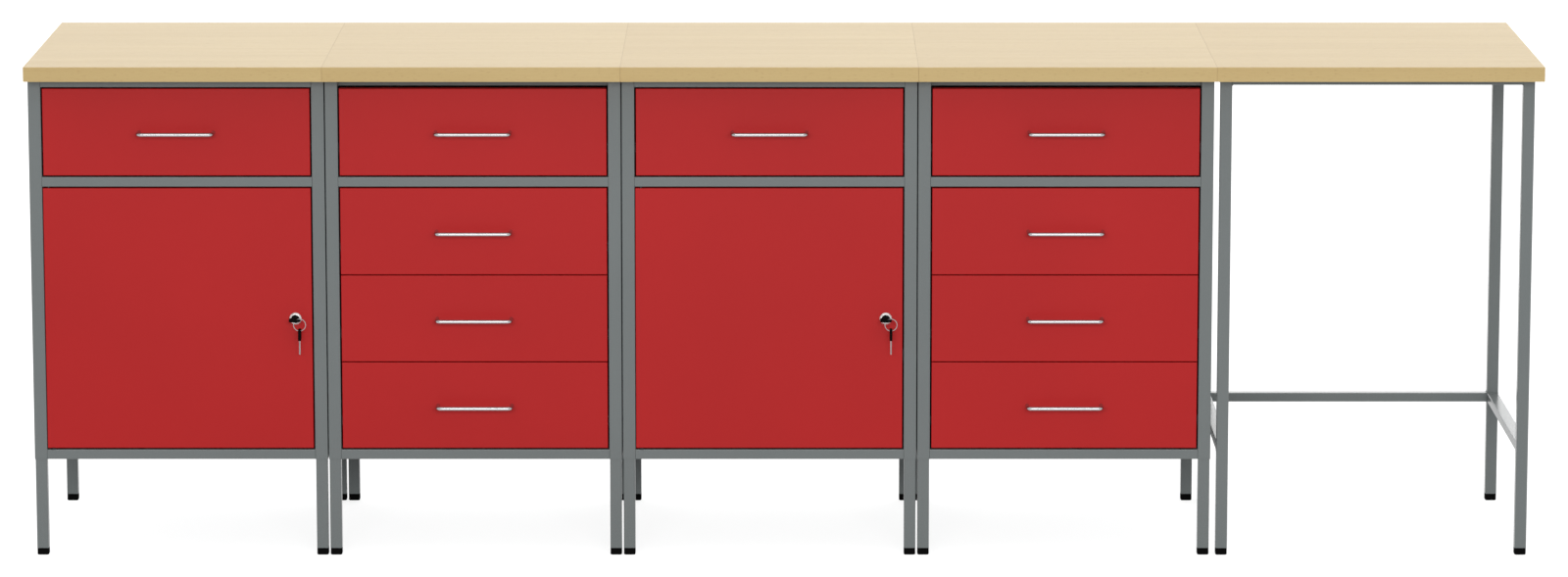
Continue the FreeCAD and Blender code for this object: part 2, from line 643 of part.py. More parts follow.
def key():
    # Key at the origin: the bow runs up +Y from its shoulder, the blade down -Y, flat in the XY plane.
    half = KEY_BOW_WIDTH / 2
    thick = KEY_BOW_THICKNESS / 2
    bow = box(-half, half, 0.0, KEY_BOW_LENGTH, -thick, thick)
    uprights = [edge for edge in bow.Edges if on(edge.CenterOfMass.z, 0.0)]
    bow = bow.makeFillet(KEY_BOW_CORNER, uprights)
    slot_half = half - KEY_WEB
    slot_end = KEY_SLOT / 2
    slot = box(
        -slot_half + slot_end, slot_half - slot_end,
        KEY_SLOT_CENTRE - slot_end, KEY_SLOT_CENTRE + slot_end, -thick, thick,
    )
    for x in (-slot_half + slot_end, slot_half - slot_end):
        slot = slot.fuse(cylinder_z(x, KEY_SLOT_CENTRE, slot_end, -thick, thick))
    bow = bow.cut(slot.removeSplitter())
    rims = edges_on(bow, lambda point: on(abs(point.z), thick))
    bow = bow.makeFillet(KEY_EDGE_ROUND, rims)
    blade_half = KEY_BLADE_WIDTH / 2
    blade_thick = KEY_BLADE_THICKNESS / 2
    blade = box(-blade_half, blade_half, -KEY_BLADE_LENGTH, 0.0, -blade_thick, blade_thick)
    return [bow, blade]


def placed(solids, turn, move):
    placement = FreeCAD.Placement(FreeCAD.Vector(*move), turn)
    return [solid.transformed(placement.toMatrix()) for solid in solids]


def key_in_lock(x):
    half_turn = FreeCAD.Rotation(FreeCAD.Vector(0, 0, 1), 180)
    return placed(key(), half_turn, (x, KEY_SHOULDER, LOCK_Z))


def key_ring(x):
    radius = (RING_DIAMETER - RING_WIRE) / 2
    centre = FreeCAD.Vector(x + RING_OFFSET, RING_Y, LOCK_Z - RING_DROP)
    return Part.makeTorus(radius, RING_WIRE / 2, centre, FreeCAD.Vector(0, 1, 0))


def spare_key(x):
    # The spare hangs edge on: its bow stands up in the ring and its blade points down.
    upright = FreeCAD.Rotation(FreeCAD.Vector(1, 1, 1), 120)
    web_z = LOCK_Z - RING_DROP - SPARE_DROP
    shoulder = web_z - (KEY_BOW_LENGTH - KEY_WEB / 2)
    return placed(key(), upright, (x + RING_OFFSET, RING_Y, shoulder))


def export_lock(name, x):
    export(name + "_lock_housing", [lock_housing(x), lock_nut(x)])
    export(name + "_lock_plug", [lock_plug(x), lock_cam(x), cam_screw(x)])
    export(name + "_key", key_in_lock(x))
    export(name + "_key_ring", [key_ring(x)])
    export(name + "_spare_key", spare_key(x))


# Assembly

def export_cabinets():
    runners = []
    pins = []
    shelves = []
    for index, kind in enumerate(BAY_KINDS):
        name = "bay%d" % (index + 1)
        centre = bay_centre(index)
        export(name + "_frame", cabinet_frame(centre, kind))
        export(name + "_shell", cabinet_shell(centre, kind))
        for row, front_bottom in enumerate(drawer_bottoms(kind)):
            export_drawer("%s_drawer%d" % (name, row + 1), centre, front_bottom)
            runners += [cabinet_runner(centre, side, front_bottom) for side in (-1, 1)]
        if kind == "cupboard":
            export(name + "_door", [door(centre), door_stiffener(centre)])
            export_lock(name, lock_axis(centre))
            pins += hinge_pins(centre)
            shelves.append(cupboard_shelf(centre))
    export("drawer_runners", runners)
    export("hinge_pins", pins)
    export("cupboard_shelves", shelves)


os.makedirs("parts", exist_ok=True)
export_worktops()
export_cabinets()
export("bay%d_frame" % (len(BAY_KINDS) + 1), table_frame())
export_feet()
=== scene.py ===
import json
import math

import bmesh
import bpy
from mathutils import Matrix, Vector

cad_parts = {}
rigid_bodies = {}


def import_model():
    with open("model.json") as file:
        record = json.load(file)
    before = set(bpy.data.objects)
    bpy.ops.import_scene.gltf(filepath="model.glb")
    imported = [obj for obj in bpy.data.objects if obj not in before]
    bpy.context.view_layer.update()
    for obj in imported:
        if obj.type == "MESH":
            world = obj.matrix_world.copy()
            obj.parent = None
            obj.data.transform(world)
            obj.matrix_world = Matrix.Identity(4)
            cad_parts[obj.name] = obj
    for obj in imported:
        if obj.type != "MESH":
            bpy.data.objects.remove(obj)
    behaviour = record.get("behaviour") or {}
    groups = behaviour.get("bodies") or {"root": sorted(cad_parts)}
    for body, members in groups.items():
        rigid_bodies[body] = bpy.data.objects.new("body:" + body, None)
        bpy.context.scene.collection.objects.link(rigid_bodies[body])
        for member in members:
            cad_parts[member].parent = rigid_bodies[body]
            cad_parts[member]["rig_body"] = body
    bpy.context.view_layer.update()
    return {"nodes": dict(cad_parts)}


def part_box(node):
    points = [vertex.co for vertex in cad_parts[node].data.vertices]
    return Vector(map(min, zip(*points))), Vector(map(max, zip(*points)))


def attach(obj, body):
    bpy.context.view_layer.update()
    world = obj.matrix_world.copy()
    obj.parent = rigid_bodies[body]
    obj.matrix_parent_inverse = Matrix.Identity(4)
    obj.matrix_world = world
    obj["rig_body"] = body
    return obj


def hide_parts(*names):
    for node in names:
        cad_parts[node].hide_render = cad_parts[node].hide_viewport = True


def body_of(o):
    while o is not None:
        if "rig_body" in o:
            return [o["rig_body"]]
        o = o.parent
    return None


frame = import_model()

# The looks of a straight workbench of four cabinets and an end table.
# Metres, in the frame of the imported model: X runs along the bench, the fronts face -Y,
# and the floor is Z = 0.

# Sheet and tube work that the fittings sit on
TUBE = 0.020
SHEET = 0.001
RUNNER_DEPTH = 0.011
RUNNER_LEVEL = 0.038
TABLE_RAIL = (0.182, 0.198)
TABLE_TOP_RAIL = 0.013

# Meshes: distance at which corners are one, and angle in degrees past which an edge is sharp
SAME_PLACE = 1e-6
CREASE = 32.0

# Camera, on the photograph's line of sight
CAMERA_PLACE = (0.0, -11.087, 2.333)
CAMERA_TILT = 9.748
CAMERA_LENS = 146.3
CAMERA_RANGE = 200.0

# Softboxes: name, place, aim, width and height, and the radiance added to a white surface at the aim
SOFTBOXES = (
    ("front_softbox", (0.0, -9.0, 2.9), (0.0, -0.25, 0.45), (6.0, 1.6), 0.41),
    ("top_softbox", (0.0, -0.6, 5.0), (0.0, 0.0, 0.86), (7.0, 4.0), 0.30),
    ("rear_softbox", (0.0, 9.0, 3.2), (0.0, 0.25, 0.45), (12.0, 4.0), 0.30),
)
SKY_LIGHT = 0.68

# Floor
WHITE = (1.0, 1.0, 1.0, 1.0)
FLOOR_GREY = (0.5, 0.5, 0.5, 1.0)
FLOOR_GLOW = 0.80
FLOOR_SIDE = 160.0

# Screen colours of wood, paint and plastic
BEECH_PALE = (200, 176, 124)
BEECH_DARK = (187, 160, 107)
BEECH_FLECK = (160, 126, 82)
FRAME_GREY = (106, 112, 112)
FRONT_RED = (176, 28, 29)
TRAY_GREY = (178, 181, 181)
KEY_BLACK = (9, 9, 9)
FOOT_BLACK = (8, 8, 8)

# Linear colours of bare and plated metal
CHROME = (0.40, 0.40, 0.41, 1.0)
NICKEL = (0.72, 0.71, 0.70, 1.0)
BURNISHED = (0.035, 0.035, 0.037, 1.0)
KEY_STEEL = (0.50, 0.50, 0.50, 1.0)
RING_STEEL = (0.30, 0.30, 0.30, 1.0)
ZINC_PALE = (0.62, 0.63, 0.65, 1.0)
ZINC_DARK = (0.48, 0.49, 0.51, 1.0)
# Painted shade: the drawer runners' zinc is made near-black, so that they show as the shade inside the gaps
# round the fronts
RUNNER_PAINTED_SHADE_PALE = (0.06, 0.06, 0.063, 1.0)
RUNNER_PAINTED_SHADE_DARK = (0.04, 0.04, 0.042, 1.0)

# Patterns of the finishes. A scale is the number of grains to a metre, a relief is in metres.
# Tones and gloss are factors on a finish's own colour and roughness.
PAINT_CLOUDS = 3.1
PAINT_CLOUD_RANGE = (0.3, 0.7)
PAINT_TONES = (0.965, 1.035)
PAINT_PEEL = 620.0
PAINT_PEEL_RELIEF = 0.00002
PAINT_GRAIN = 2600.0
PAINT_GRAIN_GLOSS = 0.05

METAL_BLOTCHES = 45.0
METAL_TONES = (0.94, 1.04)
METAL_GLOSS = (0.75, 1.3)
METAL_LINE_RELIEF = 0.000004
ROD_LINES = (40.0, 1500.0, 1500.0)
TURNED_LINES = (900.0, 900.0, 900.0)
BLADE_LINES = (1400.0, 200.0, 200.0)

ZINC_CRYSTALS = 160.0
ZINC_SMEARS = 30.0
ZINC_ROUGHNESS = (0.3, 0.5)
ZINC_RELIEF = 0.00002

PLASTIC_PEBBLES = 1500.0
PLASTIC_PEBBLE_RELIEF = 0.00004
PLASTIC_FLOW = 60.0
PLASTIC_TONES = (0.8, 1.25)
PLASTIC_FLOW_GLOSS = 0.06

# Boards of the worktop: the first ones' length, where they start, and how far each one's cut lies
# from the one before
BOARD_LENGTH = 0.51
BOARDS_START = -1.3
BOARDS = 5
BOARD_CUT = (3.7, 1.9, 0.6)
# Painted light: the share by which each board is drawn darker at its left end and paler at its right end
BOARD_PAINTED_LIGHT = 0.12
JOINT_WIDTH = 0.0006
JOINT_SHADE = 0.9

# Grain of the wood: scales along and across it, the part of each pattern that shows, and how much it shows
FIGURE_SCALE = (1.3, 26.0, 26.0)
FIGURE_RANGE = (0.25, 0.75)
FIGURE_SHADE = (0.2, 0.8)
FIBRE_SCALE = (9.0, 620.0, 620.0)
FIBRE_RANGE = (0.45, 0.8)
FIBRE_SHADE = (0.0, 0.45)
FIBRE_ROUGHNESS = (0.40, 0.52)
FIBRE_RELIEF = 0.00003
FLECK_SCALE = (95.0, 800.0, 800.0)
FLECK_RANGE = (0.66, 0.78)
FLECK_SHADE = (0.0, 0.35)
LACQUER_SHINE = 0.31

# Handles
ROD = 0.0065
ROD_BEND = 0.007
ROD_SIDES = 28
ROD_BEND_STEPS = 12

# Rivets: taper of the head, and the pin as shares of the head's width and height
RIVET = {"Head": 0.0064, "Height": 0.0011}
RIVET_PITCH = 0.105
RIVET_TAPER = 0.68
RIVET_SIDES = 20
PIN_WIDTH = 0.34
PIN_HEIGHT = 1.25
PIN_SIDES = 12

# Screws: taper of the head, and the cross recess as shares of the head's width
SCREW = {"Head": 0.0072, "Height": 0.0020}
SCREW_TAPER = 0.78
SCREW_SIDES = 24
CROSS_LENGTH = 0.52
CROSS_WIDTH = 0.13
RAIL_SCREWS = (0.25, 0.75)

# Weld spots and weld seams
SPOT = {"Width": 0.0052, "Height": 0.00012}
SPOT_PITCH = 0.085
SPOT_TAPER = 0.6
SPOT_SIDES = 18
TRAY_MARGIN = 0.03
BEAD = {"Width": 0.0032, "Step": 0.0011}
DROP_SIDES = 8
DROP_RINGS = 4
DROP_SIZES = (0.82, 1.0)
DROP_SEED = 7

# Seams along the cabinets' floors: how far in from the side rail's face and up from the shell's lowest edge
FLOOR_SEAM = {"Rod": 0.003, "Bend": 0.0}
FLOOR_SEAM_INSET = 0.0005
FLOOR_SEAM_RISE = 0.0165

# Key rings
RING_BAND = 0.0012
RING_WIRE = 0.0006
RING_TURNS = 2.0
RING_STEPS = 64

# Key blades, as shares of the blade's length, of its width, or of a cut
BLADE_GROOVE = 0.0005
BLADE_BACK = 0.45
BACK_TIP = 0.95
RIB_WIDTH = 0.35
RIB_TIP = (0.94, 0.955)
BLADE_CUTS = (0.30, 0.85, 0.45, 1.0, 0.55)
CUTS_START = 0.12
CUTS_LENGTH = 0.78
CUT_DEPTH = 0.75
CUT_FLOOR = (0.4, 0.6)
BLADE_TIP = 0.91


# Colours and shader nodes

def srgb(red, green, blue):
    """A colour written as screen values, as the linear colour that a shader takes."""
    def linear(value):
        value /= 255.0
        return value / 12.92 if value <= 0.04045 else ((value + 0.055) / 1.055) ** 2.4
    return (linear(red), linear(green), linear(blue), 1.0)


def scaled(colour, factor):
    return tuple(channel * factor for channel in colour[:3]) + (1.0,)


def add_node(tree, kind, inputs=(), **settings):
    """A node whose inputs are given a value each, or a link from another node's output."""
    node = tree.nodes.new(kind)
    for name, value in settings.items():
        setattr(node, name, value)
    for key, value in dict(inputs).items():
        if isinstance(value, bpy.types.NodeSocket):
            tree.links.new(value, node.inputs[key])
        else:
            node.inputs[key].default_value = value
    return node


def new_finish(name):
    """A material with its node tree, its shader and the object coordinates that its pattern reads."""
    material = bpy.data.materials.new(name)
    material.use_nodes = True
    tree = material.node_tree
    shader = tree.nodes["Principled BSDF"]
    place = add_node(tree, "ShaderNodeTexCoord").outputs["Object"]
    return material, tree, shader, place


def noise(tree, place, scale, detail=2.0, roughness=0.5):
    inputs = {"Vector": place, "Scale": scale, "Detail": detail, "Roughness": roughness}
    return add_node(tree, "ShaderNodeTexNoise", inputs).outputs["Fac"]


def stretched_noise(tree, place, scale, detail, roughness=0.5):
    """Noise with a scale of its own for each direction."""
    mapping = add_node(tree, "ShaderNodeMapping", {"Vector": place, "Scale": scale})
    return noise(tree, mapping.outputs["Vector"], 1.0, detail, roughness)


def spread(tree, factor, low, high, start=0.0, end=1.0):
    """The factor's stretch from start to end, laid over the range from low to high."""
    inputs = {"Value": factor, "From Min": start, "From Max": end, "To Min": low, "To Max": high}
    return add_node(tree, "ShaderNodeMapRange", inputs).outputs["Result"]


def mixed(tree, factor, first, second):
    inputs = {0: factor, 6: first, 7: second}
    return add_node(tree, "ShaderNodeMix", inputs, data_type="RGBA").outputs[2]


def toned(tree, factor, colour, tones):
    """The colour, from its darker to its lighter tone."""
    return mixed(tree, factor, scaled(colour, tones[0]), scaled(colour, tones[1]))


def math_node(tree, operation, first, second=0.0):
    return add_node(tree, "ShaderNodeMath", {0: first, 1: second}, operation=operation).outputs[0]


def bumped(tree, shader, height, depth):
    """Gives the shader a relief of that depth in metres."""
    bump = add_node(tree, "ShaderNodeBump", {"Height": height, "Distance": depth, "Strength": 1.0})
    tree.links.new(bump.outputs["Normal"], shader.inputs["Normal"])


def linked(tree, shader, **outputs):
    """Links outputs to the shader's sockets, written with _ for a space."""
    for name, output in outputs.items():
        tree.links.new(output, shader.inputs[name.replace("_", " ")])


# Finishes

def powder_coat(name, colour, roughness, shine):
    """Baked powder paint: slight clouding, fine orange peel and a grainy gloss."""
    material, tree, shader, place = new_finish(name)
    clouds = noise(tree, place, PAINT_CLOUDS, detail=3.0)
    peel = noise(tree, place, PAINT_PEEL, detail=1.0)
    grain = noise(tree, place, PAINT_GRAIN, detail=0.0)
    cloudy = toned(tree, spread(tree, clouds, 0.0, 1.0, *PAINT_CLOUD_RANGE), colour, PAINT_TONES)
    linked(tree, shader, Base_Color=cloudy)
    smooth, coarse = roughness - PAINT_GRAIN_GLOSS, roughness + PAINT_GRAIN_GLOSS
    linked(tree, shader, Roughness=spread(tree, grain, smooth, coarse))
    shader.inputs["Specular IOR Level"].default_value = shine
    bumped(tree, shader, peel, PAINT_PEEL_RELIEF)
    return material


def beech_boards(name, pale, dark, fleck):
    """Lacquered beech boards, end to end, with long fibres, a broad figure and short dark flecks.

    Each board is cut from its own place, and painted light runs along it: darker at its left end, paler at
    its right end. A thin dark line shows where two boards meet.
    """
    material, tree, shader, place = new_finish(name)
    axes = add_node(tree, "ShaderNodeSeparateXYZ", {0: place})
    along = math_node(tree, "SUBTRACT", axes.outputs["X"], BOARDS_START)
    lengths = math_node(tree, "DIVIDE", along, BOARD_LENGTH)
    last = BOARDS - 1.0
    board = math_node(tree, "MINIMUM", math_node(tree, "FLOOR", lengths), last)
    # Painted light: darker at the board's left end, paler at its right end
    painted_light = spread(tree, math_node(tree, "SUBTRACT", lengths, board), BOARD_PAINTED_LIGHT, -BOARD_PAINTED_LIGHT)
    nearest = math_node(tree, "MAXIMUM", math_node(tree, "ROUND", lengths), 1.0)
    joint = math_node(tree, "MULTIPLY", math_node(tree, "MINIMUM", nearest, last), BOARD_LENGTH)
    from_joint = math_node(tree, "ABSOLUTE", math_node(tree, "SUBTRACT", along, joint))

    own_place = vector_of(tree, *(math_node(tree, "MULTIPLY", board, step) for step in BOARD_CUT))
    cut = add_node(tree, "ShaderNodeVectorMath", {0: place, 1: own_place}, operation="ADD").outputs[0]
    figure = stretched_noise(tree, cut, FIGURE_SCALE, detail=4.0, roughness=0.55)
    fibre = stretched_noise(tree, cut, FIBRE_SCALE, detail=3.0, roughness=0.6)
    flecks = stretched_noise(tree, cut, FLECK_SCALE, detail=0.0)

    shade = math_node(tree, "ADD", spread(tree, figure, *FIGURE_SHADE, *FIGURE_RANGE), painted_light)
    tone = mixed(tree, shade, pale, dark)
    streaked = mixed(tree, spread(tree, fibre, *FIBRE_SHADE, *FIBRE_RANGE), tone, dark)
    flecked = mixed(tree, spread(tree, flecks, *FLECK_SHADE, *FLECK_RANGE), streaked, fleck)
    line = spread(tree, from_joint, JOINT_SHADE, 0.0, 0.0, JOINT_WIDTH)
    linked(tree, shader, Base_Color=mixed(tree, line, flecked, fleck))
    linked(tree, shader, Roughness=spread(tree, fibre, *FIBRE_ROUGHNESS))
    shader.inputs["Specular IOR Level"].default_value = LACQUER_SHINE
    bumped(tree, shader, fibre, FIBRE_RELIEF)
    return material


def bright_metal(name, colour, roughness, lines):
    """Plated or drawn metal: fine lines along it and small changes of gloss."""
    material, tree, shader, place = new_finish(name)
    drawn = stretched_noise(tree, place, lines, detail=2.0)
    blotches = noise(tree, place, METAL_BLOTCHES, detail=3.0)
    linked(tree, shader, Base_Color=toned(tree, blotches, colour, METAL_TONES))
    smooth, coarse = (roughness * share for share in METAL_GLOSS)
    linked(tree, shader, Roughness=spread(tree, drawn, smooth, coarse))
    shader.inputs["Metallic"].default_value = 1.0
    bumped(tree, shader, drawn, METAL_LINE_RELIEF)
    return material


def zinc_sheet(name, pale, dark):
    """Zinc coated steel: flat crystals of slightly different greys."""
    material, tree, shader, place = new_finish(name)
    crystals = add_node(tree, "ShaderNodeTexVoronoi", {"Vector": place, "Scale": ZINC_CRYSTALS})
    hue = add_node(tree, "ShaderNodeSeparateColor", {0: crystals.outputs["Color"]}).outputs[0]
    smears = noise(tree, place, ZINC_SMEARS, detail=4.0)
    linked(tree, shader, Base_Color=mixed(tree, hue, pale, dark))
    linked(tree, shader, Roughness=spread(tree, smears, *ZINC_ROUGHNESS))
    shader.inputs["Metallic"].default_value = 1.0
    bumped(tree, shader, smears, ZINC_RELIEF)
    return material


def moulded_plastic(name, colour, roughness, shine):
    """Moulded plastic: a fine pebbled skin with faint flow marks."""
    material, tree, shader, place = new_finish(name)
    pebbles = add_node(tree, "ShaderNodeTexVoronoi", {"Vector": place, "Scale": PLASTIC_PEBBLES})
    flow = noise(tree, place, PLASTIC_FLOW, detail=3.0)
    linked(tree, shader, Base_Color=toned(tree, flow, colour, PLASTIC_TONES))
    smooth, coarse = roughness - PLASTIC_FLOW_GLOSS, roughness + PLASTIC_FLOW_GLOSS
    linked(tree, shader, Roughness=spread(tree, flow, smooth, coarse))
    shader.inputs["Specular IOR Level"].default_value = shine
    bumped(tree, shader, pebbles.outputs["Distance"], PLASTIC_PEBBLE_RELIEF)
    return material


# Pieces

def piece(name, mesh, body):
    """A finished mesh as an object that rides on a body."""
    made = bpy.data.objects.new(name, mesh)
    bpy.context.scene.collection.objects.link(made)
    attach(made, body)
    return made


def mesh_from(name, shape, *materials):
    mesh = bpy.data.meshes.new(name)
    shape.to_mesh(mesh)
    shape.free()
    for material in materials:
        mesh.materials.append(material)
    return mesh


def merged_copy(node):
    """The node's triangles as one connected shape."""
    shape = bmesh.new()
    shape.from_mesh(frame["nodes"][node].data)
    bmesh.ops.remove_doubles(shape, verts=shape.verts, dist=SAME_PLACE)
    return shape


def islands(shape):
    """The shape's separate solids, as lists of vertices."""
    left = set(shape.verts)
    found = []
    while left:
        group = {left.pop()}
        border = list(group)
        while border:
            vertex = border.pop()
            for edge in vertex.link_edges:
                other = edge.other_vert(vertex)
                if other in left:
                    left.remove(other)
                    group.add(other)
                    border.append(other)
        found.append(list(group))
    return found


def corners(vertices):
    low = Vector(min(vertex.co[axis] for vertex in vertices) for axis in range(3))
    high = Vector(max(vertex.co[axis] for vertex in vertices) for axis in range(3))
    return low, high


def rounded(mesh):
    """Smooth shading, with creases at sharp edges."""
    mesh.shade_smooth()
    mesh.set_sharp_from_angle(angle=math.radians(CREASE))


# Geometry Nodes

def shape_tree(name, sizes):
    """An empty tree with a geometry input and one named input for each size."""
    tree = bpy.data.node_groups.new(name, "GeometryNodeTree")
    tree.interface.new_socket("Geometry", in_out="INPUT", socket_type="NodeSocketGeometry")
    tree.interface.new_socket("Geometry", in_out="OUTPUT", socket_type="NodeSocketGeometry")
    for label in sizes:
        tree.interface.new_socket(label, in_out="INPUT", socket_type="NodeSocketFloat")
    return tree, tree.nodes.new("NodeGroupInput").outputs


def close_tree(tree, geometry, material):
    """Ends the tree in Realize Instances and Set Material."""
    real = add_node(tree, "GeometryNodeRealizeInstances", {"Geometry": geometry}).outputs["Geometry"]
    painted = add_node(tree, "GeometryNodeSetMaterial", {"Geometry": real, "Material": material})
    add_node(tree, "NodeGroupOutput", {"Geometry": painted.outputs["Geometry"]})


def share_of(tree, size, share):
    return math_node(tree, "MULTIPLY", size, share)


def half_of(tree, size):
    return share_of(tree, size, 0.5)


def vector_of(tree, x, y, z):
    return add_node(tree, "ShaderNodeCombineXYZ", {"X": x, "Y": y, "Z": z}).outputs[0]


def moved(tree, geometry, offset):
    inputs = {"Geometry": geometry, "Translation": offset}
    return add_node(tree, "GeometryNodeTransform", inputs).outputs["Geometry"]


def line_curve(tree, geometry):
    return add_node(tree, "GeometryNodeMeshToCurve", {"Mesh": geometry}).outputs["Curve"]


def swept(tree, path, section):
    """The section drawn along the path, with closed ends."""
    inputs = {"Curve": path, "Profile Curve": section, "Fill Caps": True}
    return add_node(tree, "GeometryNodeCurveToMesh", inputs).outputs["Mesh"]


def head_cone(tree, foot, top, height, sides):
    inputs = {
        "Vertices": sides, "Side Segments": 1, "Fill Segments": 1,
        "Radius Bottom": foot, "Radius Top": top, "Depth": height,
    }
    return add_node(tree, "GeometryNodeMeshCone", inputs).outputs["Mesh"]


def on_points(tree, points, head):
    """The head on every point, its axis along the point's own facing."""
    facing = add_node(tree, "GeometryNodeInputNamedAttribute", {"Name": "facing"}, data_type="FLOAT_VECTOR")
    turn = add_node(tree, "FunctionNodeAlignRotationToVector", {
        "Vector": facing.outputs["Attribute"],
    }, axis="Z")
    inputs = {"Points": points, "Instance": head, "Rotation": turn.outputs["Rotation"]}
    return add_node(tree, "GeometryNodeInstanceOnPoints", inputs).outputs["Instances"]


def rivet_tree(material):
    """Blind rivet: a low tapered head with the stub of its pin."""
    tree, inputs = shape_tree("rivet_heads", RIVET)
    foot = half_of(tree, inputs["Head"])
    head = head_cone(tree, foot, share_of(tree, foot, RIVET_TAPER), inputs["Height"], RIVET_SIDES)
    pin_radius = share_of(tree, foot, PIN_WIDTH)
    pin_height = share_of(tree, inputs["Height"], PIN_HEIGHT)
    pin = head_cone(tree, pin_radius, pin_radius, pin_height, PIN_SIDES)
    join = tree.nodes.new("GeometryNodeJoinGeometry")
    tree.links.new(head, join.inputs[0])
    tree.links.new(pin, join.inputs[0])
    close_tree(tree, on_points(tree, inputs["Geometry"], join.outputs[0]), material)
    return tree


def screw_tree(material):
    """Pan head screw with a cross recess cut into its head."""
    tree, inputs = shape_tree("screw_heads", SCREW)
    foot = half_of(tree, inputs["Head"])
    height = inputs["Height"]
    head = head_cone(tree, foot, share_of(tree, foot, SCREW_TAPER), height, SCREW_SIDES)
    length = share_of(tree, inputs["Head"], CROSS_LENGTH)
    width = share_of(tree, inputs["Head"], CROSS_WIDTH)
    cut = add_node(tree, "GeometryNodeMeshBoolean", {"Mesh 1": head}, operation="DIFFERENCE", solver="EXACT")
    for x, y in ((length, width), (width, length)):
        bar = add_node(tree, "GeometryNodeMeshCube", {"Size": vector_of(tree, x, y, height)})
        raised = moved(tree, bar.outputs["Mesh"], vector_of(tree, 0.0, 0.0, height))
        tree.links.new(raised, cut.inputs["Mesh 2"])
    close_tree(tree, on_points(tree, inputs["Geometry"], cut.outputs["Mesh"]), material)
    return tree


def spot_tree(material):
    """Weld spot in sheet: a very low round swelling."""
    tree, inputs = shape_tree("weld_spots", SPOT)
    foot = half_of(tree, inputs["Width"])
    head = head_cone(tree, foot, share_of(tree, foot, SPOT_TAPER), inputs["Height"], SPOT_SIDES)
    close_tree(tree, on_points(tree, inputs["Geometry"], head), material)
    return tree


def seam_tree(material):
    """Weld seam: overlapping drops laid along each line, with a fixed seed for their sizes."""
    tree, inputs = shape_tree("weld_seams", BEAD)
    path = add_node(tree, "GeometryNodeResampleCurve", {
        "Curve": line_curve(tree, inputs["Geometry"]), "Length": inputs["Step"],
    }, mode="LENGTH")
    drop = add_node(tree, "GeometryNodeMeshUVSphere", {
        "Segments": DROP_SIDES, "Rings": DROP_RINGS, "Radius": half_of(tree, inputs["Width"]),
    })
    size = add_node(tree, "FunctionNodeRandomValue", {"Seed": DROP_SEED}, data_type="FLOAT")
    size.inputs[2].default_value, size.inputs[3].default_value = DROP_SIZES
    drops = add_node(tree, "GeometryNodeInstanceOnPoints", {
        "Points": path.outputs["Curve"], "Instance": drop.outputs["Mesh"], "Scale": size.outputs[1],
    })
    soft = add_node(tree, "GeometryNodeSetShadeSmooth", {"Geometry": drops.outputs["Instances"]})
    close_tree(tree, soft.outputs["Geometry"], material)
    return tree


def rod_tree(name, material):
    """Round rod that follows a bent line, with rounded bends and closed ends."""
    tree, inputs = shape_tree(name, ("Rod", "Bend"))
    path = add_node(tree, "GeometryNodeFilletCurve", {
        "Curve": line_curve(tree, inputs["Geometry"]), "Radius": inputs["Bend"], "Count": ROD_BEND_STEPS,
    }, mode="POLY")
    section = add_node(tree, "GeometryNodeCurvePrimitiveCircle", {
        "Resolution": ROD_SIDES, "Radius": half_of(tree, inputs["Rod"]),
    })
    close_tree(tree, swept(tree, path.outputs["Curve"], section.outputs["Curve"]), material)
    return tree


def split_ring_tree(material):
    """Split ring: a flat wire wound round in touching turns."""
    tree, inputs = shape_tree("split_ring", ("Radius", "Band", "Wire", "Turns"))
    rise = math_node(tree, "MULTIPLY", inputs["Wire"], math_node(tree, "SUBTRACT", inputs["Turns"], 1.0))
    wound = add_node(tree, "GeometryNodeCurveSpiral", {
        "Resolution": RING_STEPS, "Rotations": inputs["Turns"], "Start Radius": inputs["Radius"],
        "End Radius": inputs["Radius"], "Height": rise,
    })
    upright = add_node(tree, "GeometryNodeSetCurveNormal", {"Curve": wound.outputs["Curve"]}, mode="Z_UP")
    section = add_node(tree, "GeometryNodeCurvePrimitiveQuadrilateral", {
        "Width": inputs["Band"], "Height": inputs["Wire"],
    })
    wire = swept(tree, upright.outputs["Curve"], section.outputs["Curve"])
    to_middle = vector_of(tree, 0.0, 0.0, share_of(tree, rise, -0.5))
    close_tree(tree, moved(tree, wire, to_middle), material)
    return tree


def grown(name, source, tree, sizes):
    """The plain mesh that a tree makes from a source mesh."""
    carrier = bpy.data.objects.new(name, source)
    bpy.context.scene.collection.objects.link(carrier)
    modifier = carrier.modifiers.new("shape", "NODES")
    modifier.node_group = tree
    for item in tree.interface.items_tree:
        if item.in_out == "INPUT" and item.name in sizes:
            modifier[item.identifier] = sizes[item.name]
    evaluated = carrier.evaluated_get(bpy.context.evaluated_depsgraph_get())
    mesh = bpy.data.meshes.new_from_object(evaluated)
    mesh.name = name
    carrier.modifiers.remove(modifier)
    bpy.data.objects.remove(carrier)
    return mesh


def point_mesh(name, spots):
    """Loose points, each with the direction that it faces."""
    mesh = bpy.data.meshes.new(name)
    mesh.from_pydata([place for place, facing in spots], [], [])
    facings = mesh.attributes.new("facing", "FLOAT_VECTOR", "POINT")
    for item, (place, facing) in zip(facings.data, spots):
        item.vector = facing
    return mesh


def line_mesh(name, lines):
    """Separate lines, each given as its points in order."""
    mesh = bpy.data.meshes.new(name)
    points = [point for line in lines for point in line]
    edges = []
    start = 0
    for line in lines:
        edges += [(start + step, start + step + 1) for step in range(len(line) - 1)]
        start += len(line)
    mesh.from_pydata(points, edges, [])
    return mesh


def heads_piece(name, spots, tree, sizes, body):
    """Rivets, screws or weld spots on their points, as one piece."""
    piece(name, grown(name, point_mesh(name, spots), tree, sizes), body)


def evenly(start, end, pitch):
    """Places from start to end, both included, about a pitch apart."""
    steps = max(1, round((end - start) / pitch))
    return [start + (end - start) * step / steps for step in range(steps + 1)]


# Stage

